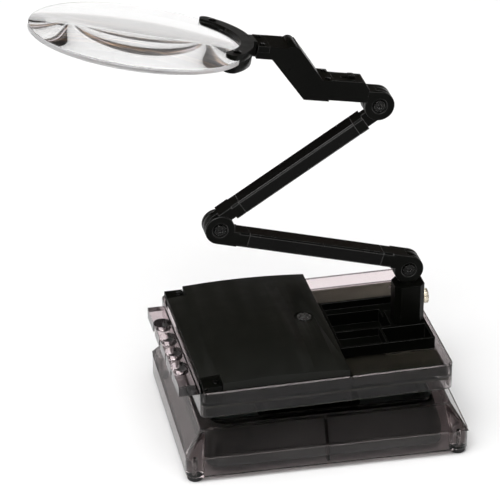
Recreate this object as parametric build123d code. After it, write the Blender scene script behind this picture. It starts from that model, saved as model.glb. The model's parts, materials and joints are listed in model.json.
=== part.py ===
from build123d import *
from math import asin, atan2, cos, degrees, hypot, radians, sin
import os

os.makedirs("parts", exist_ok=True)

# Bench magnifier: a rimless lens on a Z-folding arm, standing on a two-tier storage base.
# Millimetres, +Z up. The model is built around the middle of the deck tray, standing on Z = 0,
# and is moved at the end so that its origin is the middle of its whole footprint.

# ---------------------------------------------------------------- driving dimensions
running_gap = 0.05          # radial clearance of every pin and spindle
body_gap = 0.3              # clearance between pieces that move apart

# lower base
base_width = 180.0
base_depth = 134.0
base_turn = -1.75           # the base stands slightly turned under the deck
foot_height = 3.8
foot_radius = 5.0
skirt_top = 17.2
base_top = 32.8
base_inset_x = 10.0
base_inset_y = 11.2
base_wall = 2.2
base_rim = 8.5              # width of the flat rim round the base's opening
boss_radius = 5.8
rib_thickness = 1.6
bin_bottom = 5.6
bin_shoulder = 15.0         # the bin's walls are upright to here and slope in above it
bin_wall = 1.8
bin_half_x = 75.5
bin_half_y = 59.2
bin_top_half_x = 71.5
bin_top_half_y = 51.8

# swivel between base and deck
swivel_x = 2.0
spigot_radius = 10.0
flange_radius = 32.0
pedestal_flange_bottom = 31.0
pedestal_flange_top = 34.6
spigot_top = 47.3
hub_bottom = 35.7
hub_counterbore = 47.0

# deck tray
tray_width = 160.5
tray_depth = 126.2
tray_bottom = 46.0
tray_top = 62.7
tray_wall = 1.9
tray_floor_bottom = 53.4
tray_floor = 55.4
tray_corner = 5.0
under_plate_thickness = 1.5
divider_x = 14.5
divider_thickness = 1.4

# tool rack on the tray's left wall
rack_reach = 11.5
rack_rear = 49.0
rack_front = -50.0
rack_bottom = 55.3
tool_hole_radius = 5.5
tool_hole_pitch = 18.1
tool_hole_first = 28.0
tool_hole_count = 4
tool_hole_inset = 6.2       # hole centre from the tray's wall

# compartment insert
insert_left = 16.1
insert_right = 77.9
insert_front = -28.0
insert_rear = 30.0
insert_wall = 1.6
tub_floor = 49.1
ledge_height = 57.7
shallow_height = 57.2
tub_split_x = 54.8
pocket_left = 48.0

# lid over the left of the tray
lid_left = -78.8
lid_right = 14.0
lid_half_y = 61.4
lid_bottom = 63.0
lid_edge_top = 67.3
lid_crown = 2.2
lid_wall = 1.9
notch_x = 12.5
notch_y = 11.5
lid_hinge_x = -76.9
lid_hinge_z = 64.9
hinge_pin_radius = 1.1
lock_x = 1.2
lock_y = 6.5
lock_radius = 4.5
lock_stem_radius = 2.2
lock_tongue_length = 14.0

# column and arm
arm_y = 1.0
column_x = 66.7
column_half_width = 9.7
column_front = -10.4        # front and rear faces, from the arm's centre line
column_rear = 8.6
column_front_chamfer = 3.4
column_rear_chamfer = 6.6
column_top = 90.2
spindle_radius = 6.0
spindle_bottom = 70.8
thumb_z = 76.8
thumb_radius = 4.7
thumb_width = 3.4
pivot_base = (66.3, 100.3)
pivot_elbow = (-55.3, 143.3)
pivot_head = (44.6, 217.5)
knuckle_radius = 9.4
knuckle_half = 5.9
ear_inner = 3.2
tongue_half = 2.4
washer_thickness = 0.5
slot_radius = 9.9
tongue_shoulder = 13.0
cheek_start = 4.6            # where the elbow tongue's upper shoulder starts, from the pivot
cap_end = 19.7
tube_height = 9.8
tube_offset = knuckle_radius - tube_height / 2
tube_wall = 1.2
tube_chamfer = 1.0
pivot_radius = 2.0
recess_radius = 4.9
recess_depth = 1.2

# head
head_tilt = 10.5
block_bottom = 2.0
block_top = 15.4
block_end = 34.0
block_half = 6.5
switch_height = 2.3
bracket_half = 8.9
bracket_bottom = 2.3
bracket_wall = 1.8
cavity_end = 75.5
cap_start = 77.0
waist_radius = 2.4
waist_start = 79.4
waist_end = 81.6
bump_centre = (62.0, 32.3)  # rounded hump on the bracket's upper rear edge
bump_radius = 4.2
lamp_s = 63.5               # lamp on the bracket's sloping underside
lamp_h = 16.0
lamp_normal = (0.711, -0.703)
window_radius = 3.0
led_radius = 2.0
front_bottom = 27.0
front_top = 35.2
front_end = 84.5
stem_height = 31.2
stem_radius = 3.2
cell_radius = 3.9
cell_thickness = 5.3

# lens and its clamp
lens_radius = 65.0
lens_edge = 3.0
lens_bulge = 5.0
lens_reach = 156.8
lens_roll = 6.7
jaw_centre = 20.6
jaw_inner = 41.5
jaw_outer = 49.3
jaw_half_angle = 50.0
jaw_top = 5.0
jaw_bottom = -6.2

parts = {}


# ---------------------------------------------------------------- helpers
def block(x0, x1, y0, y1, z0, z1):
    middle = ((x0 + x1) / 2, (y0 + y1) / 2, (z0 + z1) / 2)
    return Pos(*middle) * Box(x1 - x0, y1 - y0, z1 - z0)


def rod(radius, z0, z1, x=0.0, y=0.0):
    return Pos(x, y, (z0 + z1) / 2) * Cylinder(radius, z1 - z0)


def ring(outer, inner, z0, z1, x=0.0, y=0.0):
    return rod(outer, z0, z1, x, y) - rod(inner, z0, z1, x, y)


def rounded_block(half_x, half_y, corner, z0, z1):
    outline = Plane.XY.offset(z0) * RectangleRounded(2 * half_x, 2 * half_y, corner)
    return extrude(outline, z1 - z0)


def taper(half_x0, half_y0, z0, half_x1, half_y1, z1):
    lower = Plane.XY.offset(z0) * Rectangle(2 * half_x0, 2 * half_y0)
    upper = Plane.XY.offset(z1) * Rectangle(2 * half_x1, 2 * half_y1)
    return loft([lower.face(), upper.face()], ruled=True)


def lathe(points, x=0.0, y=0.0):
    """Solid of revolution about a vertical line from (radius, height) points."""
    profile = Plane.XZ * make_face(Polyline(*points, close=True))
    return Pos(x, y, 0) * revolve(profile, Axis.Z)


def slab(plane, sketch, y0, y1):
    """Extrude a sketch drawn on an upright plane between two depths behind that plane."""
    return extrude(plane.offset(y0) * sketch, y1 - y0)


def both_sides(plane, sketch, half):
    return slab(plane, sketch, -half, half)


def span(x0, x1, z0, z1):
    return Pos((x0 + x1) / 2, (z0 + z1) / 2) * Rectangle(abs(x1 - x0), abs(z1 - z0))


def disc(x, z, radius):
    return Pos(x, z) * Circle(radius)


def tapered_cup(inset, bottom):
    """Outer (inset 0) or inner form of the black bin: upright at the foot, sloping in to its rim."""
    lower = rounded_block(bin_half_x - inset, bin_half_y - inset, 9.0 - inset, bottom, bin_shoulder)
    foot = Plane.XY.offset(bin_shoulder) * RectangleRounded(
        2 * (bin_half_x - inset), 2 * (bin_half_y - inset), 9.0 - inset)
    rim = Plane.XY.offset(base_top - base_wall) * RectangleRounded(
        2 * (bin_top_half_x - inset), 2 * (bin_top_half_y - inset), 9.0 - inset)
    return lower + loft([foot.face(), rim.face()], ruled=True)


# ---------------------------------------------------------------- lower base
def make_base():
    half_x = base_width / 2
    half_y = base_depth / 2
    top_x = half_x - base_inset_x
    top_y = half_y - base_inset_y
    skirt = rounded_block(half_x, half_y, boss_radius + 0.2, foot_height, skirt_top)
    slope = taper(half_x - 0.4, half_y - 0.4, skirt_top, top_x, top_y, base_top)
    hollow = rounded_block(half_x - base_wall, half_y - base_wall, 4.0, foot_height, skirt_top)
    hollow += taper(
        half_x - base_wall - 0.4, half_y - base_wall - 0.4, skirt_top,
        top_x - base_wall + 1.4, top_y - base_wall + 1.4, base_top - base_wall)
    opening = rounded_block(top_x - base_rim, top_y - base_rim, 7.0, base_top - 6, base_top + 1)
    shell = skirt + slope - hollow - opening

    boss_x = half_x - boss_radius - 0.2
    boss_y = half_y - boss_radius - 0.2
    corners = [(sx, sy) for sx in (-1, 1) for sy in (-1, 1)]
    for sx, sy in corners:
        boss = rod(boss_radius, foot_height, skirt_top, sx * boss_x, sy * boss_y)
        wide = Plane.XY.offset(skirt_top) * Pos(sx * boss_x, sy * boss_y) * Circle(boss_radius)
        tip = Plane.XY.offset(base_top - 3.2) * Pos(sx * (boss_x - 6.6), sy * (boss_y - 7.0)) * Circle(0.8)
        shell += boss + loft([wide.face(), tip.face()], ruled=True)

    interior = taper(half_x - 1, half_y - 1, foot_height, top_x - 1, top_y - 1, base_top - 1)
    for side in (-1, 1):
        low, high = sorted((side * (bin_top_half_y - 1), side * (half_y - 1)))
        rib = block(-rib_thickness / 2, rib_thickness / 2, low, high, foot_height + 1.5, base_top - 1)
        shell += (rib & interior) - tapered_cup(-body_gap, foot_height)

    for sx, sy in corners:
        shell -= rod(1.3, foot_height, foot_height + 11, sx * boss_x, sy * boss_y)

    tray = tapered_cup(0.0, bin_bottom) - tapered_cup(bin_wall, bin_bottom + bin_wall)
    bolt_circle = [(25 * cos(radians(a)), 25 * sin(radians(a))) for a in (45, 135, 225, 315)]
    for x, y in bolt_circle:
        tray -= rod(1.6, bin_bottom, bin_bottom + bin_wall, x, y)

    pedestal_foot = bin_bottom + bin_wall
    pedestal = lathe([
        (0, pedestal_foot + 21), (19, pedestal_foot + 18), (21, pedestal_foot), (34, pedestal_foot),
        (34, pedestal_foot + 2.4), (29, pedestal_foot + 4), (23.5, pedestal_flange_bottom),
        (flange_radius, pedestal_flange_bottom + 0.8), (flange_radius, pedestal_flange_top),
        (spigot_radius, pedestal_flange_top), (spigot_radius, spigot_top), (0, spigot_top)])
    pedestal -= rod(2.5, spigot_top - 12, spigot_top)
    for x, y in bolt_circle:
        pedestal -= rod(1.6, pedestal_foot, pedestal_foot + 9, x, y)
    pedestal_screws = Compound([
        rod(3.0, bin_bottom - 1.6, bin_bottom, x, y) + rod(1.6, bin_bottom, pedestal_foot + 7, x, y)
        for x, y in bolt_circle])

    feet = Compound([
        lathe([(2.4, 0), (foot_radius - 0.7, 0), (foot_radius, 1.0), (foot_radius, foot_height),
               (1.3, foot_height), (1.3, 2.2), (2.4, 2.2)], sx * boss_x, sy * boss_y)
        for sx, sy in corners])
    foot_screws = Compound([
        rod(2.4, 0.9, 2.2, sx * boss_x, sy * boss_y) + rod(1.3, 2.2, foot_height + 9, sx * boss_x, sy * boss_y)
        for sx, sy in corners])
    washer_low = pedestal_flange_top
    pieces = {
        "base_shell": shell,
        "base_bin": tray,
        "swivel_pedestal": pedestal,
        "pedestal_screws": pedestal_screws,
        "rubber_feet": feet,
        "foot_screws": foot_screws,
        "swivel_bearing_ring": ring(29.0, spigot_radius + 2, washer_low, washer_low + 0.8),
        "swivel_retaining_washer": ring(12.8, 2.5, spigot_top, spigot_top + 1.0),
        "swivel_retaining_screw": rod(4.4, spigot_top + 1.0, spigot_top + 3.6) + rod(
            2.5, spigot_top - 11, spigot_top + 1.0),
    }
    for name, piece in pieces.items():
        parts[name] = Pos(swivel_x, 0, 0) * Rot(0, 0, base_turn) * piece


# ---------------------------------------------------------------- deck
def column_outline():
    front_half = column_half_width - column_front_chamfer
    rear_half = column_half_width - column_rear_chamfer
    return make_face(Polyline(
        (-front_half, column_front), (front_half, column_front),
        (column_half_width, column_front + column_front_chamfer),
        (column_half_width, column_rear - column_rear_chamfer), (rear_half, column_rear),
        (-rear_half, column_rear), (-column_half_width, column_rear - column_rear_chamfer),
        (-column_half_width, column_front + column_front_chamfer), close=True))


def make_deck():
    half_x = tray_width / 2
    half_y = tray_depth / 2
    tray = rounded_block(half_x, half_y, tray_corner, tray_bottom, tray_top)
    tray -= rounded_block(half_x - tray_wall, half_y - tray_wall, tray_corner - tray_wall, tray_floor, tray_top)
    tray -= rounded_block(half_x - tray_wall, half_y - tray_wall, tray_corner - tray_wall,
                          tray_bottom, tray_floor_bottom)
    inner_y = half_y - tray_wall / 2
    divider = block(divider_x, divider_x + divider_thickness, -inner_y, inner_y, tray_floor, tray_top)
    lock_slot = block(divider_x - 1, divider_x + 3, lock_y - 8.5, lock_y + 3.2, 58.8, 61.9)
    tray += divider - lock_slot
    deep_tub = (insert_left + 0.2, tub_split_x + 1.8, -8.6, 23.6)
    front_tub = (pocket_left - insert_wall, insert_right - 0.2, insert_front, -8.4)
    for x0, x1, y0, y1 in (deep_tub, front_tub):
        tray -= block(x0 - 0.2, x1 + 0.2, y0 - 0.2, y1 + 0.2, tray_floor_bottom, tray_floor)

    column_screw_y = (arm_y - 5.4, arm_y + 6.2)
    plate_screw_places = [(sx * (half_x - 9), sy * (half_y - 9)) for sx in (-1, 1) for sy in (-1, 1)]

    hub = lathe([
        (spigot_radius + running_gap, hub_bottom), (flange_radius, hub_bottom),
        (flange_radius, hub_bottom + 3.0), (27, hub_bottom + 3.6), (18, 48.0),
        (18, tray_floor_bottom), (13.5, tray_floor_bottom), (13.5, hub_counterbore),
        (spigot_radius + running_gap, hub_counterbore)], swivel_x)
    screw_places = [(swivel_x + 15.75 * cos(radians(a)), 15.75 * sin(radians(a))) for a in (60, 120, 240, 300)]
    hub -= block(deep_tub[0] - body_gap, 40, -40, 40, tub_floor - 1.5 - body_gap, tray_floor_bottom)
    for x, y in screw_places:
        hub -= rod(1.2, tray_floor_bottom - 8, tray_floor_bottom, x, y)
        tray -= rod(1.2, tray_floor_bottom, tray_floor, x, y)
    hub_screws = Compound([
        rod(2.3, tray_floor, tray_floor + 1.3, x, y) + rod(1.2, tray_floor_bottom - 7, tray_floor, x, y)
        for x, y in screw_places])

    plate_top = tray_floor_bottom - 0.15
    plate = rounded_block(half_x - tray_wall - 0.2, half_y - tray_wall - 0.2, tray_corner - tray_wall,
                          plate_top - under_plate_thickness, plate_top)
    plate -= rod(18.3, plate_top - under_plate_thickness, plate_top, swivel_x)
    for x0, x1, y0, y1 in (deep_tub, front_tub):
        plate -= block(x0 - 0.4, x1 + 0.4, y0 - 0.4, y1 + 0.4, plate_top - under_plate_thickness, plate_top)
    for x, y in plate_screw_places:
        plate -= rod(1.2, plate_top - under_plate_thickness, plate_top, x, y)
        tray -= rod(1.2, tray_floor_bottom, tray_floor - 0.6, x, y)
    for y in column_screw_y:
        plate -= rod(3.2, plate_top - under_plate_thickness, plate_top, column_x, y)
    plate_screws = Compound([
        rod(1.2, plate_top - under_plate_thickness, tray_floor - 0.8, x, y)
        + rod(2.2, plate_top - under_plate_thickness - 1.1, plate_top - under_plate_thickness, x, y)
        for x, y in plate_screw_places])

    rack = block(-half_x - rack_reach, -half_x, rack_front, rack_rear, rack_bottom, tray_top)
    for index in range(tool_hole_count):
        y = tool_hole_first - index * tool_hole_pitch
        rack -= rod(tool_hole_radius, rack_bottom, tray_top, -half_x - tool_hole_inset, y)

    insert = block(insert_left, insert_right, insert_front, insert_rear, tray_floor, tray_top)
    for x0, x1, y0, y1 in (deep_tub, front_tub):
        insert += block(x0, x1, y0, y1, tub_floor - 1.5, tray_floor)
    left = insert_left + insert_wall
    insert -= block(left, tub_split_x, 20.0, insert_rear - insert_wall, ledge_height, tray_top)
    insert -= block(tub_split_x - 2.0, insert_right - insert_wall, arm_y + column_rear + insert_wall,
                    insert_rear - insert_wall, ledge_height, tray_top)
    insert -= block(deep_tub[0] + insert_wall, tub_split_x, -7.0, 22.0, tub_floor, tray_top)
    insert -= block(left, pocket_left - insert_wall, insert_front + insert_wall, -8.6, shallow_height, tray_top)
    insert -= block(pocket_left, insert_right - insert_wall, insert_front + insert_wall, -10.0,
                    tub_floor, tray_top)

    for y in column_screw_y:
        insert -= rod(1.5, tray_floor, tray_top, column_x, y)
        tray -= rod(1.5, tray_floor_bottom, tray_floor, column_x, y)
    column = extrude(Pos(column_x, arm_y, tray_top) * column_outline(), column_top - tray_top)
    column -= rod(spindle_radius + running_gap, spindle_bottom, column_top, column_x, arm_y)
    column -= Pos(column_x + 8, arm_y, thumb_z) * Rot(0, 90, 0) * Cylinder(2.0 + running_gap, 16)
    for y in column_screw_y:
        column -= rod(1.5, tray_top, tray_top + 7, column_x, y)
    column_screws = Compound([
        rod(2.8, tray_floor_bottom - 1.7, tray_floor_bottom, column_x, y)
        + rod(1.5, tray_floor_bottom, tray_top + 6, column_x, y) for y in column_screw_y])

    hinge_blocks = []
    hinge_screws = []
    for side in (-1, 1):
        y0 = side * (lid_half_y - notch_y + body_gap)
        y1 = side * (lid_half_y - 0.4)
        low, high = sorted((y0, y1))
        bracket = block(lid_left + 0.4, lid_left + notch_x - 0.6, low, high, tray_top, lid_edge_top - 1.0)
        foot = block(lid_left, lid_left + notch_x - 0.6, low, high, tray_floor, tray_top)
        bore = Pos(lid_hinge_x, (low + high) / 2, lid_hinge_z) * Rot(90, 0, 0)
        bracket += foot & rounded_block(
            half_x - tray_wall, half_y - tray_wall, tray_corner - tray_wall, tray_floor, tray_top)
        bracket -= bore * Cylinder(hinge_pin_radius + running_gap, 30)
        screw_x = lid_left + notch_x - 3.6
        screw_y = (low + high) / 2
        bracket -= rod(1.2, tray_floor, lid_edge_top, screw_x, screw_y)
        hinge_blocks.append(bracket)
        hinge_screws.append(
            rod(2.1, lid_edge_top - 1.0, lid_edge_top - 0.1, screw_x, screw_y)
            + rod(1.2, tray_floor + 1, lid_edge_top - 1.0, screw_x, screw_y))

    parts["deck_tray"] = tray
    parts["deck_under_plate"] = plate
    parts["under_plate_screws"] = plate_screws
    parts["swivel_hub"] = hub
    parts["hub_screws"] = hub_screws
    parts["tool_rack"] = rack
    parts["compartment_insert"] = insert
    parts["arm_column"] = column
    parts["column_screws"] = column_screws
    parts["lid_hinge_blocks"] = Compound(hinge_blocks)
    parts["hinge_block_screws"] = Compound(hinge_screws)


# ---------------------------------------------------------------- lid
def lid_profile(inset):
    """Crowned section of the lid in X and Z, drawn `inset` inside its outer skin."""
    left = lid_left + inset
    right = lid_right - inset
    middle = (left + right) / 2
    edge = lid_edge_top - inset
    bottom = lid_bottom - (1.0 if inset else 0.0)
    outline = Polyline((left, edge), (left, bottom), (right, bottom), (right, edge))
    crown = ThreePointArc((right, edge), (middle, edge + lid_crown), (left, edge))
    return make_face([*outline.edges(), crown])


def make_lid():
    across = Plane((0, 0, 0), x_dir=(1, 0, 0), z_dir=(0, -1, 0))
    lid = both_sides(across, lid_profile(0.0), lid_half_y)
    lid -= both_sides(across, lid_profile(lid_wall), lid_half_y - lid_wall)
    notch_right = lid_left + notch_x
    for side in (-1, 1):
        low, high = sorted((side * (lid_half_y - notch_y), side * (lid_half_y + 1)))
        lid -= block(lid_left - 1, notch_right, low, high, lid_bottom - 1, lid_edge_top + 5)
        cheek_low, cheek_high = sorted((side * (lid_half_y - notch_y - 2.2), side * (lid_half_y - notch_y)))
        lid += block(lid_left, notch_right + 2, cheek_low, cheek_high, lid_bottom, lid_edge_top - 0.6)
        side_low, side_high = sorted((side * (lid_half_y - notch_y - 2.2), side * (lid_half_y - 0.5)))
        lid += block(notch_right, notch_right + 2, side_low, side_high, lid_bottom, lid_edge_top - 0.2)
        bore = Pos(lid_hinge_x, side * (lid_half_y - notch_y), lid_hinge_z) * Rot(90, 0, 0)
        lid -= bore * Cylinder(hinge_pin_radius, 4.4)
    left_edge = block(lid_left - 1, lid_left + 0.9, -70, 70, lid_bottom - 1, lid_bottom + 0.5)
    lid -= left_edge
    recess_floor = 66.9
    lid += rod(8.0, 64.6, recess_floor + 0.8, lock_x, lock_y)
    lid -= rod(6.4, recess_floor, 72, lock_x, lock_y)
    lid -= rod(lock_stem_radius + running_gap, 60, recess_floor, lock_x, lock_y)

    pins = []
    for side in (-1, 1):
        reach = side * (lid_half_y - notch_y)
        low, high = sorted((reach - side * 2.2, reach + side * (notch_y - 2.5)))
        pin = Pos(lid_hinge_x, (low + high) / 2, lid_hinge_z) * Rot(90, 0, 0)
        pins.append(pin * Cylinder(hinge_pin_radius, high - low))

    knob = rod(lock_radius, recess_floor + 0.1, recess_floor + 1.5, lock_x, lock_y)
    knob -= Pos(lock_x, lock_y, recess_floor + 1.4) * Rot(0, 0, 35) * Box(2 * lock_radius, 1.2, 1.2)
    knob += rod(lock_stem_radius, 59.7, recess_floor + 0.2, lock_x, lock_y)
    tongue = block(lock_x - 2.6, lock_x + 2.6, lock_y - lock_tongue_length, lock_y + 3.2, 59.7, 61.3)
    tongue -= rod(lock_stem_radius, 59, 62, lock_x, lock_y)

    parts["storage_lid"] = lid
    parts["lid_hinge_pins"] = Compound(pins)
    parts["lid_lock_knob"] = knob
    parts["lid_lock_tongue"] = tongue


# ---------------------------------------------------------------- arm
def knuckle_plane(x, z, direction):
    """Upright plane at the arm's centre line whose X axis is `direction` and whose Y axis points up."""
    return Plane((x, arm_y, z), x_dir=(direction[0], 0, direction[1]), z_dir=(0, 1, 0))


def arm_layout(near, far, near_offset):
    """Plane along a tube whose axis passes `near_offset` below its near pivot and above its far one."""
    dx = far[0] - near[0]
    dz = far[1] - near[1]
    length = hypot(dx, dz)
    run = (length ** 2 - 4 * near_offset ** 2) ** 0.5
    along_x = (run * dx + 2 * near_offset * dz) / length ** 2
    along_z = (run * dz - 2 * near_offset * dx) / length ** 2
    origin_x = near[0] - near_offset * along_z
    origin_z = near[1] + near_offset * along_x
    return knuckle_plane(origin_x, origin_z, (along_x, along_z)), run


def tube_section(plane, x0, x1, half_height, half_depth, edge):
    bar = both_sides(plane, span(x0, x1, -half_height, half_height), half_depth)
    if edge:
        axis = Axis(plane.origin, plane.x_dir)
        bar = chamfer(bar.edges().filter_by(axis), edge)
    return bar


def pivot_holes(plane, x, z, radius):
    return both_sides(plane, disc(x, z, radius), knuckle_half + 1)


def cap_body(plane, x, side):
    """Outer block of an end cap and the plug that fills the tube's mouth."""
    half = tube_height / 2
    plug_half = half - tube_wall
    shoulder = tube_section(
        plane, x + side * tongue_shoulder, x + side * cap_end, half, knuckle_half, tube_chamfer)
    plug = both_sides(plane, span(x + side * cap_end, x + side * (cap_end + 11), -plug_half, plug_half),
                      knuckle_half - tube_wall)
    return shoulder + plug


def clevis_cap(plane, x, z, side):
    half = tube_height / 2
    ears = disc(x, z, knuckle_radius) + span(x, x + side * tongue_shoulder, -half, half)
    cap = both_sides(plane, ears, knuckle_half) + cap_body(plane, x, side)
    cap -= both_sides(plane, disc(x, z, slot_radius), ear_inner)
    cap -= pivot_holes(plane, x, z, pivot_radius)
    cap -= slab(plane, disc(x, z, recess_radius), -knuckle_half, -knuckle_half + recess_depth)
    cap -= slab(plane, disc(x, z, recess_radius), knuckle_half - recess_depth, knuckle_half)
    return cap


def tongue_cap(plane, x, z, side, shoulder_start=tongue_shoulder):
    """End cap with a middle tongue; above the pivot its full-width shoulder may start nearer the knuckle."""
    half = tube_height / 2
    tongue = disc(x, z, knuckle_radius) + span(x, x + side * (tongue_shoulder + 1), -half, half)
    cap = both_sides(plane, tongue, tongue_half) + cap_body(plane, x, side)
    if shoulder_start < tongue_shoulder:
        cheek = span(x + side * shoulder_start, x + side * (tongue_shoulder + 1), z + 2.0, half)
        cap += both_sides(plane, cheek - disc(x, z, knuckle_radius + body_gap), knuckle_half)
    cap -= pivot_holes(plane, x, z, pivot_radius + running_gap)
    return cap


def arm_tube(plane, run):
    half = tube_height / 2
    tube = tube_section(plane, cap_end, run - cap_end, half, knuckle_half, tube_chamfer)
    bore = span(cap_end, run - cap_end, -half + tube_wall, half - tube_wall)
    return tube - both_sides(plane, bore, knuckle_half - tube_wall)


def pivot_hardware(prefix, x, z):
    """Bolt, nut and the two friction washers of one knuckle."""
    plane = knuckle_plane(x, z, (-1, 0))
    head_floor = -knuckle_half + recess_depth
    head = slab(plane, Circle(3.4), head_floor - 1.3, head_floor)
    socket = slab(plane, RegularPolygon(1.5, 6), head_floor - 1.3, head_floor - 0.5)
    shank = slab(plane, Circle(pivot_radius), head_floor, knuckle_half - 0.2)
    nut_low = knuckle_half - recess_depth
    nut = slab(plane, RegularPolygon(3.9, 6) - Circle(pivot_radius), nut_low, knuckle_half + 0.2)
    washer = Circle(6.0) - Circle(pivot_radius + running_gap)
    parts[prefix + "_pivot_bolt"] = head - socket + shank
    parts[prefix + "_pivot_nut"] = nut
    parts[prefix + "_pivot_washers"] = Compound([
        slab(plane, washer, -tongue_half - washer_thickness, -tongue_half),
        slab(plane, washer, tongue_half, tongue_half + washer_thickness)])


def make_arm():
    upright = knuckle_plane(pivot_base[0], pivot_base[1], (-1, 0))
    tongue = disc(0, 0, knuckle_radius)
    tongue += span(-5.0, 5.0, column_top + 0.4 - pivot_base[1], 0)
    post = both_sides(upright, tongue, tongue_half)
    post += rod(spindle_radius, spindle_bottom + body_gap, column_top + 0.4, column_x, arm_y)
    post -= pivot_holes(upright, 0, 0, pivot_radius + running_gap)
    parts["arm_post"] = post

    grip = Pos(column_x + column_half_width + 0.6 + thumb_width / 2, arm_y, thumb_z) * Rot(0, 90, 0)
    knob = grip * Cylinder(thumb_radius, thumb_width)
    flute = Cylinder(0.45, thumb_width + 0.2)
    for index in range(24):
        angle = radians(index * 15)
        knob -= grip * Pos(thumb_radius * cos(angle), thumb_radius * sin(angle), 0) * flute
    shaft_low = column_x + spindle_radius + body_gap
    shaft_high = column_x + column_half_width + 1
    shaft = Pos((shaft_low + shaft_high) / 2, arm_y, thumb_z) * Rot(0, 90, 0)
    parts["thumbscrew"] = knob + shaft * Cylinder(2.0, shaft_high - shaft_low)

    lower, lower_run = arm_layout(pivot_base, pivot_elbow, -tube_offset)
    parts["lower_arm_tube"] = arm_tube(lower, lower_run)
    parts["lower_arm_base_clevis"] = clevis_cap(lower, 0, -tube_offset, 1)
    parts["lower_arm_elbow_clevis"] = clevis_cap(lower, lower_run, tube_offset, -1)

    upper, upper_run = arm_layout(pivot_head, pivot_elbow, tube_offset)
    parts["upper_arm_tube"] = arm_tube(upper, upper_run)
    parts["upper_arm_head_tongue"] = tongue_cap(upper, 0, tube_offset, 1)
    parts["upper_arm_elbow_tongue"] = tongue_cap(upper, upper_run, -tube_offset, -1, cheek_start)

    pivot_hardware("base", *pivot_base)
    pivot_hardware("elbow", *pivot_elbow)
    pivot_hardware("head", *pivot_head)


# ---------------------------------------------------------------- head
along = (-cos(radians(head_tilt)), sin(radians(head_tilt)))
above = (sin(radians(head_tilt)), cos(radians(head_tilt)))
head_plane = knuckle_plane(pivot_head[0], pivot_head[1], along)


def head_point(s, y, h):
    """World position of a point `s` along the head, `h` above its pivot and `y` off its middle."""
    return Vector(
        pivot_head[0] + s * along[0] + h * above[0], arm_y + y, pivot_head[1] + s * along[1] + h * above[1])


def head_rod(radius, s0, s1, h, y=0.0):
    """Cylinder lying along the head."""
    plane = Plane(head_point(s0, y, h), x_dir=(0, 1, 0), z_dir=(along[0], 0, along[1]))
    return extrude(plane * Circle(radius), s1 - s0)


def head_peg(radius, s, h0, h1, y=0.0):
    """Cylinder standing square to the head."""
    plane = Plane(head_point(s, y, h0), x_dir=(0, 1, 0), z_dir=(above[0], 0, above[1]))
    return extrude(plane * Circle(radius), h1 - h0)


def stepped_stem(clearance, s0, s1):
    """Stem of the lens yoke, waisted so that the split housing holds it in; or its bore, with clearance."""
    low = waist_start + (body_gap if clearance else 0.0)
    high = waist_end - (body_gap if clearance else 0.0)
    stem = head_rod(stem_radius + clearance, s0, low, stem_height)
    stem += head_rod(waist_radius + clearance, low, high, stem_height)
    return stem + head_rod(stem_radius + clearance, high, s1, stem_height)


def lamp_stack(sketch, depth0, depth1):
    """Prism square to the bracket's sloping underside, between two depths under that face."""
    inward = Vector(
        -lamp_normal[0] * along[0] - lamp_normal[1] * above[0], 0,
        -lamp_normal[0] * along[1] - lamp_normal[1] * above[1])
    start = head_point(lamp_s, 0, lamp_h) + inward * depth0
    return extrude(Plane(start, x_dir=(0, 1, 0), z_dir=inward) * sketch, depth1 - depth0)


def bracket_outline(inset, end):
    step = inset * 0.42
    return make_face(Polyline(
        (block_end + inset, bracket_bottom + inset), (49.9 - step, bracket_bottom + inset),
        (74.4 - step, front_bottom + inset), (end, front_bottom + inset), (end, front_top - inset),
        (58.2 + step, front_top - inset), (40.4 + step, 15.9 - inset),
        (block_end + inset, 15.9 - inset), close=True))


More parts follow.
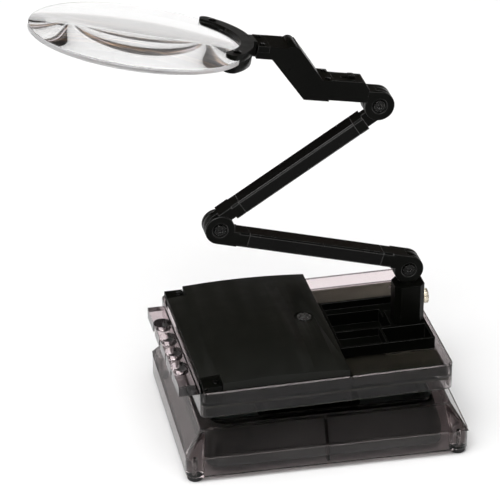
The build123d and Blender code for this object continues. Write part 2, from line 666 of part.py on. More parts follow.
def make_head():
    ears = disc(0, 0, knuckle_radius)
    ears += span(0, 10, block_bottom, knuckle_radius)
    rear = make_face(Polyline(
        (8.8, block_bottom), (block_end, block_bottom), (block_end, block_top), (12.6, block_top),
        (8.8, 10.8), close=True))
    case = both_sides(head_plane, ears, knuckle_half) + both_sides(head_plane, rear, block_half)
    case -= both_sides(head_plane, disc(0, 0, slot_radius), ear_inner)
    case -= pivot_holes(head_plane, 0, 0, pivot_radius)
    case -= slab(head_plane, disc(0, 0, recess_radius), -knuckle_half, -knuckle_half + recess_depth)
    case -= slab(head_plane, disc(0, 0, recess_radius), knuckle_half - recess_depth, knuckle_half)
    case -= both_sides(head_plane, span(13.4, block_end - 1.4, 3.6, block_top), 4.4)

    cover = both_sides(head_plane, span(13.5, block_end - 1.5, 13.9, block_top - 0.1), 4.3)
    cover -= both_sides(head_plane, span(18.0, 26.2, 13.0, block_top + 1), 1.3)
    slider = both_sides(head_plane, span(18.4, 22.6, block_top + 0.2, block_top + switch_height), 2.3)
    slider += both_sides(head_plane, span(19.4, 21.6, 13.4, block_top + 0.3), 1.0)
    slider += both_sides(head_plane, span(18.6, 22.4, 12.7, 13.5), 2.2)
    cells = Compound([
        head_rod(cell_radius, 14.9 + index * cell_thickness, 14.9 + (index + 1) * cell_thickness - 0.1, 8.1)
        for index in range(3)])
    contacts = Compound([
        both_sides(head_plane, span(14.3, 14.8, 4.2, 12.0), 3.2),
        both_sides(head_plane, span(30.8, 32.3, 4.2, 12.0), 3.2)])

    bracket = both_sides(head_plane, bracket_outline(0.0, front_end) + disc(*bump_centre, bump_radius),
                         bracket_half)
    bracket -= slab(head_plane, bracket_outline(bracket_wall, cavity_end), -bracket_half + bracket_wall,
                    bracket_half - bracket_wall)
    recess = bracket_outline(bracket_wall - 0.6, cavity_end)
    bracket -= slab(head_plane, recess, bracket_half - bracket_wall, bracket_half)
    cover_plate = slab(head_plane, bracket_outline(bracket_wall - 0.5, cavity_end - 0.1),
                       bracket_half - bracket_wall, bracket_half)
    cover_screws = []
    for s, h in ((38.5, 9.0), (59.5, 30.0), (70.5, 31.0)):
        bracket += slab(head_plane, disc(s, h, 2.2), -bracket_half + 1, bracket_half - bracket_wall)
        bracket -= slab(head_plane, disc(s, h, 1.0), -2, bracket_half - bracket_wall)
        cover_plate -= slab(head_plane, disc(s, h, 1.0), bracket_half - bracket_wall, bracket_half)
        cover_screws.append(
            slab(head_plane, disc(s, h, 1.0), -1, bracket_half)
            + slab(head_plane, disc(s, h, 1.9), bracket_half, bracket_half + 0.7))
    joint_screws = []
    for y in (-5.6, 5.6):
        bracket -= head_peg(0.9, block_end + 2.4, 10.0, 15.9, y)
        joint_screws.append(
            head_peg(0.9, block_end + 2.4, 10.5, 15.9, y) + head_peg(1.7, block_end + 2.4, 15.9, 16.6, y))

    stem_bore = stepped_stem(running_gap, cavity_end - 1, front_end + 1)
    cap = both_sides(head_plane, span(cap_start, front_end, stem_height, front_top), bracket_half)
    bracket -= cap
    bracket -= stem_bore
    cap -= stem_bore
    cap_screws = []
    for y in (-5.8, 5.8):
        hole = head_peg(0.9, front_end - 3.2, front_bottom + 1.6, front_top, y)
        bracket -= hole
        cap -= hole
        cap_screws.append(hole + head_peg(1.7, front_end - 3.2, front_top, front_top + 0.7, y))

    window = lamp_stack(Circle(window_radius), 0.1, 1.4)
    bracket -= lamp_stack(Circle(window_radius), -1.0, bracket_wall + 1.0)
    led = lamp_stack(Circle(led_radius), 1.4, 4.2)
    board = lamp_stack(Rectangle(2 * (bracket_half - bracket_wall), 7.0), 4.2, 5.2)

    parts["head_case"] = case
    parts["battery_cover"] = cover
    parts["light_switch"] = slider
    parts["button_cells"] = cells
    parts["battery_contacts"] = contacts
    parts["z_bracket"] = bracket
    parts["z_bracket_cover"] = cover_plate
    parts["bracket_cover_screws"] = Compound(cover_screws)
    parts["bracket_joint_screws"] = Compound(joint_screws)
    parts["stem_cap"] = cap
    parts["stem_cap_screws"] = Compound(cap_screws)
    parts["led_window"] = window
    parts["led_lamp"] = led
    parts["led_board"] = board


# ---------------------------------------------------------------- lens and clamp
roll_axis = Vector(along[0], 0, along[1])
roll_normal = Vector(
    above[0] * cos(radians(lens_roll)), sin(radians(lens_roll)), above[1] * cos(radians(lens_roll)))
lens_plane = Plane(head_point(lens_reach, 0, stem_height), x_dir=roll_axis, z_dir=roll_normal)


def lens_solid():
    edge = lens_edge / 2
    profile = make_face([
        Line((0, -edge - lens_bulge), (0, edge + lens_bulge)),
        *lens_face(1), Line((lens_radius, edge), (lens_radius, -edge)), *lens_face(-1)])
    return lens_plane * revolve(Plane.XZ * profile, Axis.Z)


def lens_face(side):
    """Arc of one spherical face, from the axis to the rim."""
    edge = lens_edge / 2
    sphere = (lens_radius ** 2 + lens_bulge ** 2) / (2 * lens_bulge)
    half = lens_radius / 2
    drop = sphere - (sphere ** 2 - half ** 2) ** 0.5
    middle = (half, side * (edge + lens_bulge - drop))
    return [ThreePointArc((0, side * (edge + lens_bulge)), middle, (lens_radius, side * edge))]


def jaw_sketch():
    """Crescent of one jaw in the lens plane, with rounded horn tips; the lens lies towards +X."""
    middle = (jaw_inner + jaw_outer) / 2
    band = Circle(jaw_outer) - Circle(jaw_inner)
    reach = jaw_outer + 5
    half = radians(jaw_half_angle)
    wedge = make_face(Polyline(
        (0, 0), (-reach * cos(half), reach * sin(half)), (-reach * 1.4, 0), (-reach * cos(half), -reach * sin(half)),
        close=True))
    crescent = band & wedge
    for side in (-1, 1):
        crescent += Pos(-middle * cos(half), side * middle * sin(half)) * Circle((jaw_outer - jaw_inner) / 2)
    return Pos(-jaw_centre, 0) * crescent


def make_lens():
    lens = lens_solid()
    hub_end = -(lens_reach - front_end) + body_gap
    hub = span(hub_end, -jaw_centre - jaw_outer + 4, -6.8, 6.8)
    sketch = jaw_sketch()
    upper = extrude(lens_plane * (sketch + hub), jaw_top)
    lower = extrude(lens_plane.offset(jaw_bottom) * sketch, -jaw_bottom)
    lower += extrude(lens_plane.offset(-4.4) * hub, 4.4)
    stem = stepped_stem(0.0, cavity_end + 0.6, front_end + 5)
    upper += stem
    upper -= lens
    lower -= lens
    lower -= stem
    screw_angle = radians(jaw_half_angle - 6)
    middle = (jaw_inner + jaw_outer) / 2
    screws = []
    for side in (-1, 1):
        spot = Pos(-jaw_centre - middle * cos(screw_angle), side * middle * sin(screw_angle))
        hole = extrude(lens_plane.offset(jaw_bottom + 1.2) * (spot * Circle(1.2)), jaw_top - jaw_bottom - 1.2)
        head = extrude(lens_plane.offset(jaw_top) * (spot * Circle(2.5)), 0.9)
        upper -= hole
        lower -= hole
        lens -= hole
        screws.append(hole + head)
    parts["lens_yoke"] = upper
    parts["lens_lower_jaw"] = lower
    parts["yoke_screws"] = Compound(screws)
    parts["lens"] = lens


make_base()
make_deck()
make_lid()
make_arm()
make_head()
make_lens()

# ---------------------------------------------------------------- origin and export
footprint = Compound(list(parts.values())).bounding_box()
origin_x = (footprint.min.X + footprint.max.X) / 2
origin_y = (footprint.min.Y + footprint.max.Y) / 2
origin_z = footprint.min.Z
move = Pos(-origin_x, -origin_y, -origin_z)
for name, piece in parts.items():
    export_step(move * piece, "parts/" + name + ".step")
print("parts", len(parts))
print("size", [round(v, 2) for v in footprint.size])
print("origin shift", round(-origin_x, 4), round(-origin_y, 4), round(-origin_z, 4))
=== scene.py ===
import json
from math import cos, pi, radians, sin, sqrt

import bmesh
import bpy
from mathutils import Matrix, Vector


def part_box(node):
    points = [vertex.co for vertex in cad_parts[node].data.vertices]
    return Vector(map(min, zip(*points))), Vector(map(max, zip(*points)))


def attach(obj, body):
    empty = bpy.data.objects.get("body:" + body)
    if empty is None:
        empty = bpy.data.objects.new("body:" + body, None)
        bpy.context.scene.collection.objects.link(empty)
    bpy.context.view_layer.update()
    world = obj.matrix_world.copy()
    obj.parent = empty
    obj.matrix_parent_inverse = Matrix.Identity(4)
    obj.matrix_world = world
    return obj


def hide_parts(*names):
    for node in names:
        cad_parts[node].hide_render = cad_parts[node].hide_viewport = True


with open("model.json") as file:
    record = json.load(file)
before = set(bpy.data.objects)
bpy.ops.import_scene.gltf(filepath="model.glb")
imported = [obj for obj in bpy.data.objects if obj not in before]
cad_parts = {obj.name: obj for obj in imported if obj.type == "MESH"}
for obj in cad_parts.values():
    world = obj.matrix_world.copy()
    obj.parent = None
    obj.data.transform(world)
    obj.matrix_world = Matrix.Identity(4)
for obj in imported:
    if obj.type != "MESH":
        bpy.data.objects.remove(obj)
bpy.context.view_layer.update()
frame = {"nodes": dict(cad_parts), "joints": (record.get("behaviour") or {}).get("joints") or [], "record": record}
nodes = frame["nodes"]
joints = {joint["name"]: joint for joint in frame["joints"]}
slot_of = {part["node"]: part["material_slot"] for part in frame["record"]["subparts"]}
body_of = {name: body for body, names in frame["record"]["behaviour"]["bodies"].items() for name in names}

MM = 0.001

# ------------------------------------------------ directions, and the head's axes at its pivot
UP = Vector((0, 0, 1))
ACROSS = Vector((0, 1, 0))
head_pivot = Vector(joints["head_tilt"]["pos_m"])
head_along = Vector(joints["switch_slide"]["axis"]).normalized()
head_above = ACROSS.cross(head_along)

# ------------------------------------------------ sizes shared with the part, in millimetres
LENS_RADIUS = 65.0
LENS_EDGE = 3.0             # thickness of the lens at its edge
LENS_BULGE = 5.0            # rise of each face above the edge
LENS_REACH = 156.8          # from the head's pivot to the lens centre, along the head
LENS_HEIGHT = 31.2          # of the lens centre above the head's pivot
LENS_ROLL = 6.7             # degrees about the head's length
JAW_CENTRE = 20.6           # from the lens centre back to the centre of the jaws' arc
JAW_MIDDLE = 45.4           # radius of the jaws' middle line
JAW_SCREW_ANGLE = 44.0      # degrees to either side of the head's length
JAW_TOP = 5.0               # of the upper jaw, above the lens's middle plane


# ------------------------------------------------ material helpers
PLASTIC_IOR = 1.5
ACRYLIC_IOR = 1.49
SMOKED_IOR = 1.3
RACK_IOR = 1.38
SMOKED_GLOSS = (0.05, 0.12)
NOISE_LOW, NOISE_HIGH = 0.3, 0.7            # the part of a noise signal that carries its range
FIRST_COLOUR, SECOND_COLOUR, MIXED_COLOUR = 6, 7, 2     # colour sockets of a Mix node


def new_material(name):
    material = bpy.data.materials.new(name)
    material.use_nodes = True
    tree = material.node_tree
    shader = tree.nodes["Principled BSDF"]
    return material, tree, shader


def noise(tree, scale, detail=2.0, rough=0.5):
    """Noise texture in object space, where one unit is a metre."""
    coords = tree.nodes.new("ShaderNodeTexCoord")
    texture = tree.nodes.new("ShaderNodeTexNoise")
    texture.inputs["Scale"].default_value = scale
    texture.inputs["Detail"].default_value = detail
    texture.inputs["Roughness"].default_value = rough
    tree.links.new(coords.outputs["Object"], texture.inputs["Vector"])
    return texture.outputs["Fac"]


def ramp(tree, source, low, high, start=NOISE_LOW, end=NOISE_HIGH):
    """Colour ramp between two colours over part of a 0 to 1 signal."""
    node = tree.nodes.new("ShaderNodeValToRGB")
    node.color_ramp.elements[0].position = start
    node.color_ramp.elements[1].position = end
    node.color_ramp.elements[0].color = (*low, 1)
    node.color_ramp.elements[1].color = (*high, 1)
    tree.links.new(source, node.inputs["Fac"])
    return node.outputs["Color"]


def remap(tree, source, start, end, low=0.0, high=1.0):
    """Map the stretch of a signal from `start` to `end` onto low to high."""
    node = tree.nodes.new("ShaderNodeMapRange")
    node.inputs["From Min"].default_value = start
    node.inputs["From Max"].default_value = end
    node.inputs["To Min"].default_value = low
    node.inputs["To Max"].default_value = high
    tree.links.new(source, node.inputs["Value"])
    return node.outputs["Result"]


def spread(tree, source, low, high):
    """Turn a noise signal into a number between two limits."""
    return remap(tree, source, NOISE_LOW, NOISE_HIGH, low, high)


def coordinate(tree, coords, output, axis):
    """X, Y or Z of one set of texture coordinates."""
    split = tree.nodes.new("ShaderNodeSeparateXYZ")
    tree.links.new(coords.outputs[output], split.inputs["Vector"])
    return split.outputs[axis]


def bump(tree, shader, source, strength, depth_mm):
    node = tree.nodes.new("ShaderNodeBump")
    node.inputs["Strength"].default_value = strength
    node.inputs["Distance"].default_value = depth_mm * MM
    tree.links.new(source, node.inputs["Height"])
    tree.links.new(node.outputs["Normal"], shader.inputs["Normal"])


def moulded(name, low, high, gloss, grain=1400.0, grain_depth=0.03, strength=0.35, sheen=0.5):
    """Opaque plastic with a fine mould grain, faint colour drift and handling marks in its gloss."""
    material, tree, shader = new_material(name)
    drift = noise(tree, scale=35.0, detail=4.0)
    marks = noise(tree, scale=90.0, detail=5.0, rough=0.6)
    tree.links.new(ramp(tree, drift, low, high), shader.inputs["Base Color"])
    tree.links.new(spread(tree, marks, *gloss), shader.inputs["Roughness"])
    shader.inputs["IOR"].default_value = PLASTIC_IOR
    shader.inputs["Specular IOR Level"].default_value = sheen
    bump(tree, shader, noise(tree, grain), strength, grain_depth)
    return material


def metal(name, low, high, gloss):
    """Bare metal with fine grain, uneven tone and wear in its gloss."""
    material, tree, shader = new_material(name)
    shader.inputs["Metallic"].default_value = 1.0
    tone = noise(tree, scale=400.0, detail=3.0)
    wear = noise(tree, scale=700.0, detail=3.0)
    tree.links.new(ramp(tree, tone, low, high), shader.inputs["Base Color"])
    tree.links.new(spread(tree, wear, *gloss), shader.inputs["Roughness"])
    bump(tree, shader, noise(tree, scale=1800.0), strength=0.3, depth_mm=0.01)
    return material


def clear_body(tree, shader, tint, gloss, ripple, ior):
    """Let light through a plastic: its tint, its gloss and the faint flow ripples of its faces."""
    marks = noise(tree, scale=120.0, detail=4.0)
    tree.links.new(tint, shader.inputs["Base Color"])
    tree.links.new(spread(tree, marks, *gloss), shader.inputs["Roughness"])
    shader.inputs["Transmission Weight"].default_value = 1.0
    shader.inputs["IOR"].default_value = ior
    bump(tree, shader, noise(tree, scale=60.0), strength=0.25, depth_mm=ripple)


def see_through(name, low, high, gloss, ripple=0.02, ior=ACRYLIC_IOR):
    """Clear or smoked moulded plastic with a slightly uneven tint."""
    material, tree, shader = new_material(name)
    tint = ramp(tree, noise(tree, scale=20.0, detail=3.0), low, high)
    clear_body(tree, shader, tint, gloss, ripple, ior)
    return material


def graded_smoke(name, front, rear, front_y, rear_y):
    """Smoked plastic whose tint thins out from the front wall to the rear one (row frame metres)."""
    material, tree, shader = new_material(name)
    coords = tree.nodes.new("ShaderNodeTexCoord")
    depth = remap(tree, coordinate(tree, coords, "Object", "Y"), front_y, rear_y)
    uneven = 0.12
    drift = tree.nodes.new("ShaderNodeMath")
    drift.operation = "MULTIPLY_ADD"
    tree.links.new(noise(tree, scale=25.0, detail=3.0), drift.inputs[0])
    drift.inputs[1].default_value = uneven
    tree.links.new(depth, drift.inputs[2])
    tint = ramp(tree, drift.outputs["Value"], front, rear, start=uneven / 2, end=1 + uneven / 2)
    clear_body(tree, shader, tint, SMOKED_GLOSS, ripple=0.02, ior=SMOKED_IOR)
    return material


# colours are linear; `gloss` is the roughness from the shiniest spot to the dullest
BLACK = moulded(
    "black_plastic", (0.0013, 0.0014, 0.0011), (0.0028, 0.0030, 0.0023), gloss=(0.26, 0.38), sheen=0.05)
LID_BLACK = moulded(
    "lid_black", (0.0048, 0.0051, 0.0038), (0.0076, 0.0078, 0.0060), gloss=(0.42, 0.55),
    grain=800.0, grain_depth=0.05, strength=0.5, sheen=0.14)
TUBE_BLACK = moulded(
    "arm_tube_black", (0.0016, 0.0016, 0.0014), (0.0032, 0.0032, 0.0029), gloss=(0.2, 0.28),
    grain_depth=0.02, strength=0.3, sheen=0.07)
BIN = moulded("bin_black", (0.12, 0.142, 0.137), (0.165, 0.19, 0.185), gloss=(0.4, 0.55), sheen=0.2)
PLATE = moulded(
    "under_plate", (0.066, 0.074, 0.054), (0.108, 0.116, 0.086), gloss=(0.5, 0.65),
    grain=600.0, grain_depth=0.06, strength=0.5, sheen=0.2)
# Lighter, glossier black for bevels: a painted highlight that draws thin light lines along the black pieces'
# edges.
EDGE_HIGHLIGHT = moulded("painted_edge_highlight", (0.010, 0.010, 0.0094), (0.024, 0.024, 0.0225), gloss=(0.2, 0.32))
RUBBER = moulded(
    "rubber", (0.006, 0.006, 0.006), (0.012, 0.012, 0.012), gloss=(0.68, 0.85),
    grain=500.0, grain_depth=0.08, strength=0.6)
BEARING = moulded("bearing_plastic", (0.72, 0.72, 0.7), (0.8, 0.8, 0.78), gloss=(0.35, 0.5))
BOARD = moulded("circuit_board", (0.01, 0.1, 0.03), (0.02, 0.16, 0.05), gloss=(0.3, 0.45))

# Tint of the base shell: partly the plastic's own smoke, partly painted shade, kept dark to stand in for the
# shadowed space inside the base.
SMOKED_AND_SHADE = see_through(
    "smoked_plastic", (0.37, 0.328, 0.328), (0.43, 0.383, 0.382), gloss=(0.06, 0.14), ior=SMOKED_IOR)
PALE_SMOKED = graded_smoke(
    "pale_smoked_plastic", front=(0.37, 0.34, 0.338), rear=(0.9, 0.805, 0.82), front_y=-0.06, rear_y=0.06)
RACK = see_through(
    "rack_plastic", (0.62, 0.535, 0.55), (0.7, 0.605, 0.62), gloss=(0.05, 0.12), ior=RACK_IOR)
CLEAR = see_through(
    "clear_acrylic", (0.985, 0.985, 0.985), (1.0, 1.0, 1.0), gloss=(0.0, 0.012), ripple=0.002)
EDGE = see_through(
    "ground_lens_edge", (0.72, 0.72, 0.73), (0.84, 0.84, 0.85), gloss=(0.3, 0.42), ripple=0.01)
LAMP = see_through("lamp_epoxy", (0.92, 0.92, 0.86), (0.98, 0.98, 0.94), gloss=(0.02, 0.06))

STEEL = metal("steel", (0.55, 0.55, 0.54), (0.72, 0.72, 0.71), gloss=(0.2, 0.36))
DARK_STEEL = metal("dark_steel", (0.010, 0.010, 0.010), (0.022, 0.022, 0.021), gloss=(0.2, 0.32))
SATIN_STEEL = metal("satin_steel", (0.78, 0.78, 0.77), (0.96, 0.96, 0.94), gloss=(0.56, 0.7))
BRASS = metal("brass", (0.70, 0.64, 0.52), (0.84, 0.78, 0.66), gloss=(0.2, 0.34))

looks = {
    "smoked_plastic": SMOKED_AND_SHADE,
    "pale_smoked_plastic": PALE_SMOKED,
    "rack_plastic": RACK,
    "black_plastic": BLACK,
    "arm_tube_black": TUBE_BLACK,
    "steel": STEEL,
    "brass": BRASS,
    "rubber": RUBBER,
    "white_bearing_plastic": BEARING,
    "clear_acrylic": CLEAR,
    "lamp_epoxy": LAMP,
    "circuit_board": BOARD,
}
own_look = {
    "storage_lid": LID_BLACK,
    "deck_under_plate": PLATE,
    "base_bin": BIN,
    "lid_lock": SATIN_STEEL,
    "base_pivot_bolt": DARK_STEEL,
    "elbow_pivot_bolt": DARK_STEEL,
    "head_pivot_bolt": DARK_STEEL,
    "base_pivot_nut": DARK_STEEL,
    "elbow_pivot_nut": DARK_STEEL,
    "head_pivot_nut": DARK_STEEL,
}


# ------------------------------------------------ CAD nodes: materials and softened edges
WELD_GAP = 0.002            # millimetres
SOFT_STEPS = 2
SOFT_ANGLE = 35             # degrees between faces, above which an edge is softened
PLAIN_EDGE = 0.3            # millimetres
DARK_STEEL_EDGE = 0.35


def soften(piece, width_mm, rim=None):
    """Round a piece's sharp edges with a small bevel, which may get its own lighter material as a painted
    highlight.
    """
    weld = piece.modifiers.new("weld", "WELD")
    weld.merge_threshold = WELD_GAP * MM
    edge = piece.modifiers.new("edge", "BEVEL")
    edge.width = width_mm * MM
    edge.segments = SOFT_STEPS
    edge.limit_method = "ANGLE"
    edge.angle_limit = radians(SOFT_ANGLE)
    edge.use_clamp_overlap = True
    edge.harden_normals = True
    # the bevel faces take the lighter material, a painted highlight
    if rim:
        piece.data.materials.append(rim)
        edge.material = 1


def paint(piece, material):
    piece.data.materials.clear()
    piece.data.materials.append(material)


edge_width = {              # millimetres, where it is not the plain one
    "storage_lid": 0.7,
    "base_shell": 0.5,
    "deck_tray": 0.5,
    "tool_rack": 0.35,
    "compartment_insert": 0.4,
    "arm_column": 0.5,
}
# bevels that carry a painted highlight: lighter black along the black pieces' edges, bright steel glints round the
# dark bolt heads
painted_highlight_rim_of = {BLACK: EDGE_HIGHLIGHT, TUBE_BLACK: EDGE_HIGHLIGHT, DARK_STEEL: STEEL}
for name, node in nodes.items():
    look = own_look.get(name, looks[slot_of[name]])
    usual_edge = DARK_STEEL_EDGE if look is DARK_STEEL else PLAIN_EDGE
    paint(node, look)
    soften(node, edge_width.get(name, usual_edge), rim=painted_highlight_rim_of.get(look))


# ------------------------------------------------ mesh helpers
def place(origin, along, up):
    """Matrix whose X axis is `along` and whose Z axis is `up`, at a point in the row frame."""
    z_axis = up.normalized()
    x_axis = (along - along.dot(z_axis) * z_axis).normalized()
    y_axis = z_axis.cross(x_axis)
    matrix = Matrix((x_axis, y_axis, z_axis)).transposed().to_4x4()
    matrix.translation = origin
    return matrix


def join_rings(mesh, lower, upper, segments, material_index=0):
    """Smooth faces between two rings of points, either of which may be a single point."""
    for index in range(segments):
        after = (index + 1) % segments
        quad = [lower[index % len(lower)], lower[after % len(lower)],
                upper[after % len(upper)], upper[index % len(upper)]]
        face = mesh.faces.new(list(dict.fromkeys(quad)))
        face.material_index = material_index
        face.smooth = True


def lathe_into(mesh, profile, matrix, segments, material_index=0):
    """Revolve a profile of (radius, height) points, in millimetres, about the matrix's Z axis."""
    rings = []
    for radius, height in profile:
        turn = [2 * pi * index / segments for index in range(segments if radius else 1)]
        rings.append([
            mesh.verts.new(matrix @ Vector((radius * cos(a) * MM, radius * sin(a) * MM, height * MM)))
            for a in turn])
    for lower, upper in zip(rings, rings[1:]):
        join_rings(mesh, lower, upper, segments, material_index)


def link_new(name, data):
    """Put a mesh, a lamp or a camera into the scene under a name."""
    thing = bpy.data.objects.new(name, data)
    bpy.context.scene.collection.objects.link(thing)
    return thing


def finish_piece(mesh, name, materials, body, sharp_degrees):
    """Turn a built mesh into a named piece that rides its body."""
    bmesh.ops.recalc_face_normals(mesh, faces=mesh.faces)
    data = bpy.data.meshes.new(name)
    mesh.to_mesh(data)
    mesh.free()
    data.set_sharp_from_angle(angle=radians(sharp_degrees))
    for material in materials:
        data.materials.append(material)
    piece = link_new(name, data)
    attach(piece, body)
    return piece


def head_point(along, side, height):
    """Point `along` the head from its pivot, `side` off its middle and `height` above, in millimetres."""
    return head_pivot + (along * head_along + side * ACROSS + height * head_above) * MM


# ------------------------------------------------ screws with domed, cross-recessed heads
SCREW_SEGMENTS = 32
RING_SHARES = (0.0, 0.12, 0.2, 0.3, 0.4, 0.5, 0.6, 0.66, 0.76, 0.86, 0.94, 0.99, 1.0)   # of the radius
DOME_FALL = 0.75            # leaves the dome's rim half as high as its middle
CROSS_HALF_WIDTH = 0.17     # of one arm of the recess, as a share of the radius
CROSS_REACH = 0.6           # of the arms, as a share of the radius
CROSS_DEPTH = 0.75          # at the middle, as a share of the height
CROSS_RISE = 0.5            # how much of that depth is gone at the end of an arm
FIRST_TWIST, TWIST_STEP = 0.4, 1.1      # radians, so that no two heads line up
SCREW_SHARP = 30            # degrees


def cross_screw(mesh, centre, axis, twist, radius, height):
    """Domed head with a crossed recess that is deepest in the middle, and a straight skirt below it."""
    matrix = place(centre, Matrix.Rotation(twist, 3, axis) @ axis.orthogonal(), axis)
    arm_half = CROSS_HALF_WIDTH * radius
    arm_reach = CROSS_REACH * radius
    rings = []
    for share in RING_SHARES:
        r = share * radius
        dome = height * sqrt(max(0.0, 1 - DOME_FALL * share ** 2))
        ring = []
        for index in range(SCREW_SEGMENTS if share else 1):
            angle = 2 * pi * index / SCREW_SEGMENTS
            x, y = r * cos(angle), r * sin(angle)
            in_arm = min(abs(x), abs(y)) < arm_half and r < arm_reach
            depth = CROSS_DEPTH * height * (1 - CROSS_RISE * r / arm_reach) if in_arm else 0.0
            ring.append(mesh.verts.new(matrix @ Vector((x * MM, y * MM, (dome - depth) * MM))))
        rings.append(ring)
    turn = [2 * pi * index / SCREW_SEGMENTS for index in range(SCREW_SEGMENTS)]
    rings.append([
        mesh.verts.new(matrix @ Vector((radius * cos(a) * MM, radius * sin(a) * MM, 0))) for a in turn])
    for inner, outer in zip(rings, rings[1:]):
        join_rings(mesh, inner, outer, SCREW_SEGMENTS)


def screw_set(node, places, head):
    """Detailed heads for a node of plain screws: (centre, axis) pairs, and one (radius, height)."""
    mesh = bmesh.new()
    for index, (centre, axis) in enumerate(places):
        cross_screw(mesh, centre, axis, FIRST_TWIST + TWIST_STEP * index, *head)
    piece = finish_piece(mesh, node + "_heads", [DARK_STEEL], body_of[node], SCREW_SHARP)
    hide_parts(node)


BRACKET_HEAD = (1.7, 0.7)
COVER_HEAD = (1.9, 0.7)
HINGE_HEAD = (2.1, 0.9)
YOKE_HEAD = (2.5, 0.9)
JOINT_SCREW = (36.4, 5.6, 15.9)         # along, to each side and above, from the head's pivot
CAP_SCREW = (81.3, 5.8, 35.2)
COVER_SCREWS = ((38.5, 9.0), (59.5, 30.0), (70.5, 31.0))        # along and above
COVER_SIDE = 8.9
for node, (along, side, height) in (("bracket_joint_screws", JOINT_SCREW), ("stem_cap_screws", CAP_SCREW)):
    pair = [(head_point(along, sign * side, height), head_above) for sign in (-1, 1)]
    screw_set(node, pair, BRACKET_HEAD)
screw_set("bracket_cover_screws", [
    (head_point(along, COVER_SIDE, height), ACROSS) for along, height in COVER_SCREWS], COVER_HEAD)

hinge_low, hinge_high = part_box("hinge_block_screws")
hinge_x = (hinge_low.x + hinge_high.x) / 2
hinge_y = hinge_high.y - HINGE_HEAD[0] * MM
hinge_z = hinge_high.z - HINGE_HEAD[1] * MM
screw_set("hinge_block_screws", [
    (Vector((hinge_x, side * hinge_y, hinge_z)), UP) for side in (-1, 1)], HINGE_HEAD)


# ------------------------------------------------ ribbed light switch
def prism(mesh, outline, half_width):
    """Extrude an outline of (along, height) points across the head, in millimetres."""
    rows = [[mesh.verts.new(head_point(along, side * half_width, height)) for along, height in outline]
            for side in (-1, 1)]
    for row in rows:
        mesh.faces.new(row)
    count = len(outline)
    for index in range(count):
        after = (index + 1) % count
        mesh.faces.new((rows[0][index], rows[0][after], rows[1][after], rows[1][index]))


def upright(start, end, low, high):
    """Outline of a rectangle from `start` to `end` along the head and from `low` to `high` above it."""
    return [(start, low), (end, low), (end, high), (start, high)]


SWITCH_START, SWITCH_END = 18.4, 22.6
SWITCH_BASE, SWITCH_TOP = 15.6, 17.7
SWITCH_RIBS = 5
SWITCH_STEPS = 40
SWITCH_CROWN = 0.75         # rise of the pad's middle over its ends
SWITCH_RIB_HEIGHT = 0.26
PAD_HALF_WIDTH = 2.25
STEM = (19.4, 21.6, 13.4, SWITCH_BASE + 0.1)
STEM_HALF_WIDTH = 1.0
FOOT = (18.6, 22.4, 12.7, 13.5)
FOOT_HALF_WIDTH = 2.2
SWITCH_EDGE = 0.12
SWITCH_SHARP = 40           # degrees


def build_switch():
    """Slider with a crowned, ribbed thumb pad on its stem and foot."""
    ends = SWITCH_TOP - SWITCH_CROWN - SWITCH_RIB_HEIGHT
    pad = [(SWITCH_END, SWITCH_BASE), (SWITCH_START, SWITCH_BASE)]
    for index in range(SWITCH_STEPS + 1):
        share = index / SWITCH_STEPS
        crown = SWITCH_CROWN * sqrt(max(0.0, 1 - (2 * share - 1) ** 4))
        rib = SWITCH_RIB_HEIGHT * (0.5 - 0.5 * cos(2 * pi * SWITCH_RIBS * share))
        pad.append((SWITCH_START + share * (SWITCH_END - SWITCH_START), ends + crown + rib))
    mesh = bmesh.new()
    prism(mesh, pad, PAD_HALF_WIDTH)
    prism(mesh, upright(*STEM), STEM_HALF_WIDTH)
    prism(mesh, upright(*FOOT), FOOT_HALF_WIDTH)
    piece = finish_piece(mesh, "light_switch_pad", [BLACK], "light_switch", SWITCH_SHARP)
    # the pad's bevels carry the painted edge highlight
    soften(piece, SWITCH_EDGE, rim=EDGE_HIGHLIGHT)
    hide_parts("light_switch")


build_switch()

# ------------------------------------------------ lens
roll = radians(LENS_ROLL)
lens_normal = head_above * cos(roll) + ACROSS * sin(roll)
lens_centre = head_point(LENS_REACH, 0, LENS_HEIGHT)
lens_matrix = place(lens_centre, head_along, lens_normal)


def lens_point(along, side, height):
    """Point from the lens centre: `along` away from the head, `side` across and `height` off its plane."""
    return lens_matrix @ Vector((along * MM, side * MM, height * MM))


screw_angle = radians(JAW_SCREW_ANGLE)
screw_set("yoke_screws", [
    (lens_point(-JAW_CENTRE - JAW_MIDDLE * cos(screw_angle), side * JAW_MIDDLE * sin(screw_angle), JAW_TOP),
     lens_normal) for side in (-1, 1)], YOKE_HEAD)

LENS_CLEARANCE = 0.02       # between the lens and its clamp
LENS_RIM = 0.25             # width of the small bevel round each face
LENS_STEPS = 48             # from the middle of a face to its rim
LENS_SEGMENTS = 256
LENS_SHARP = 25             # degrees
LENS_SEAM = 0.001           # points closer than this are joined


def build_lens():
    """Biconvex lens with polished faces and a ground edge, a hair inside its clamp."""
    radius = LENS_RADIUS - LENS_CLEARANCE
    half_edge = LENS_EDGE / 2 - LENS_CLEARANCE
    sphere = (LENS_RADIUS ** 2 + LENS_BULGE ** 2) / (2 * LENS_BULGE)
    face = []
    for index in range(LENS_STEPS + 1):
        r = (radius - LENS_RIM) * index / LENS_STEPS
        face.append((r, half_edge + LENS_BULGE - (sphere - sqrt(sphere ** 2 - r ** 2))))
    under = [(r, -z) for r, z in reversed(face)]
    edge = [face[-1], (radius, half_edge - LENS_RIM), (radius, -half_edge + LENS_RIM), under[0]]
    mesh = bmesh.new()
    for profile, material_index in ((face, 0), (edge, 1), (under, 0)):
        lathe_into(mesh, profile, lens_matrix, LENS_SEGMENTS, material_index)
    bmesh.ops.remove_doubles(mesh, verts=mesh.verts, dist=LENS_SEAM * MM)
    piece = finish_piece(mesh, "lens_optic", [CLEAR, EDGE], "lens_holder", LENS_SHARP)
    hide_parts("lens")


build_lens()

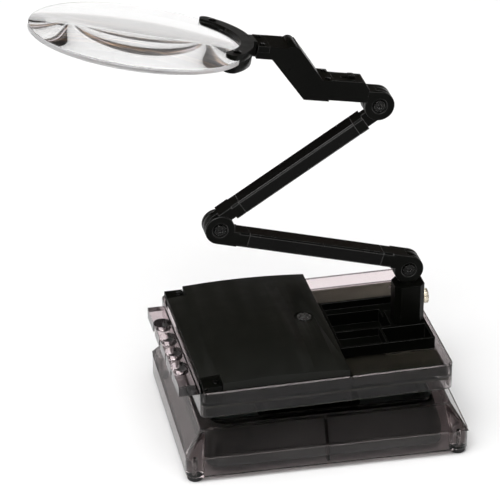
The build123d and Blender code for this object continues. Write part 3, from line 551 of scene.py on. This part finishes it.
# ------------------------------------------------ floor
FLOOR_HALF = 6.0            # metres
FLOOR_CELLS = 8
PAPER = ((0.9, 0.9, 0.9), (0.93, 0.93, 0.93))
PAPER_ROUGHNESS = 0.8
floor_mesh = bmesh.new()
bmesh.ops.create_grid(floor_mesh, x_segments=FLOOR_CELLS, y_segments=FLOOR_CELLS, size=FLOOR_HALF)
floor_data = bpy.data.meshes.new("floor")
floor_mesh.to_mesh(floor_data)
floor_mesh.free()
floor = link_new("floor", floor_data)
floor_material, floor_tree, floor_shader = new_material("floor_paper")
paper_tone = ramp(floor_tree, noise(floor_tree, scale=3.0), *PAPER)
floor_tree.links.new(paper_tone, floor_shader.inputs["Base Color"])
floor_shader.inputs["Roughness"].default_value = PAPER_ROUGHNESS
floor_data.materials.append(floor_material)

# ------------------------------------------------ light
HORIZON_GLOW = (0.03, 0.07)         # heights of the view direction between which the white glow ends
BAND_TOP = (0.26, 0.36)             # and between which the bands give way to the dark ceiling
BAND_STRETCH = (0.9, 0.9, 16.0)     # level bands: long across, short in height
BAND_DETAIL = 3.0
WHITE = (1.0, 1.0, 1.0, 1)
CEILING = (0.02, 0.02, 0.02, 1)
BAND_FIRST = (0.44, (0.03, 0.026, 0.024, 1))
BAND_LAST = (0.66, WHITE)
BAND_BETWEEN = (
    (0.55, (0.13, 0.105, 0.095, 1)),
    (0.59, (0.8, 0.5, 0.27, 1)),
    (0.62, (0.74, 0.72, 0.9, 1)),
)
world = bpy.data.worlds.new("studio")
bpy.context.scene.world = world
world.use_nodes = True


def band_colours(tree, coords):
    """Level, warm-edged bands from dark to white."""
    mapping = tree.nodes.new("ShaderNodeMapping")
    mapping.inputs["Scale"].default_value = BAND_STRETCH
    bands = tree.nodes.new("ShaderNodeTexNoise")
    bands.inputs["Scale"].default_value = 1.0
    bands.inputs["Detail"].default_value = BAND_DETAIL
    tree.links.new(coords.outputs["Generated"], mapping.inputs["Vector"])
    tree.links.new(mapping.outputs["Vector"], bands.inputs["Vector"])
    colours = tree.nodes.new("ShaderNodeValToRGB")
    stops = colours.color_ramp.elements
    for stop, (position, colour) in zip(stops, (BAND_FIRST, BAND_LAST)):
        stop.position = position
        stop.color = colour
    for position, colour in BAND_BETWEEN:
        stops.new(position).color = colour
    tree.links.new(bands.outputs["Fac"], colours.inputs["Fac"])
    return colours.outputs["Color"]


def blend(tree, factor):
    """Mix of two colours by a factor."""
    node = tree.nodes.new("ShaderNodeMix")
    node.data_type = "RGBA"
    tree.links.new(factor, node.inputs["Factor"])
    return node


def studio_sky(tree):
    """Dim room that is white at the horizon and has bands of light low down, under a dark ceiling."""
    coords = tree.nodes.new("ShaderNodeTexCoord")
    height = coordinate(tree, coords, "Generated", "Z")
    upper = blend(tree, remap(tree, height, *BAND_TOP))
    tree.links.new(band_colours(tree, coords), upper.inputs[FIRST_COLOUR])
    upper.inputs[SECOND_COLOUR].default_value = CEILING
    whole = blend(tree, remap(tree, height, *HORIZON_GLOW))
    whole.inputs[FIRST_COLOUR].default_value = WHITE
    tree.links.new(upper.outputs[MIXED_COLOUR], whole.inputs[SECOND_COLOUR])
    tree.links.new(whole.outputs[MIXED_COLOUR], tree.nodes["Background"].inputs["Color"])


studio_sky(world.node_tree)


def aim(lamp, direction):
    lamp.rotation_euler = direction.to_track_quat("-Z", "Y").to_euler()


# even light over the whole floor, as from a large, distant diffuser
SUN_DIRECTION = Vector((0.22, 0.28, -1.0))
SUN_STRENGTH = 3.6
SUN_SPREAD = 75             # degrees
sun_data = bpy.data.lights.new("diffuser", "SUN")
sun_data.energy = SUN_STRENGTH
sun_data.angle = radians(SUN_SPREAD)
aim(link_new("diffuser", sun_data), SUN_DIRECTION)

# small softbox above the front left, aimed at the middle of the object
KEY_PLACE = Vector((-0.5, -0.75, 1.35))
KEY_TARGET = Vector((0.0, 0.0, 0.12))
KEY_SIDE = 0.35             # metres
KEY_WATTS = 3.0
key_data = bpy.data.lights.new("key", "AREA")
key_data.shape = "RECTANGLE"
key_data.size = KEY_SIDE
key_data.size_y = KEY_SIDE
key_data.energy = KEY_WATTS
key = link_new("key", key_data)
key.location = KEY_PLACE
aim(key, KEY_TARGET - KEY_PLACE)

# ------------------------------------------------ camera
CAMERA_PLACE = Vector((-356.1, -1563.3, 1018.4)) * MM
CAMERA_PITCH = 29.13        # degrees down
CAMERA_YAW = 12.89          # degrees to the right of the Y axis
CAMERA_LENS = 212.8
CAMERA_SENSOR = 36.0
camera_data = bpy.data.cameras.new("camera")
camera_data.lens = CAMERA_LENS
camera_data.sensor_width = CAMERA_SENSOR
camera = link_new("camera", camera_data)
camera.location = CAMERA_PLACE
camera.rotation_euler = (radians(90 - CAMERA_PITCH), 0, radians(-CAMERA_YAW))
bpy.context.scene.camera = camera
bpy.context.scene.view_settings.view_transform = "Standard"

# light crosses many clear walls, one behind another
bpy.context.scene.cycles.max_bounces = 24
bpy.context.scene.cycles.glossy_bounces = 20
bpy.context.scene.cycles.transmission_bounces = 24
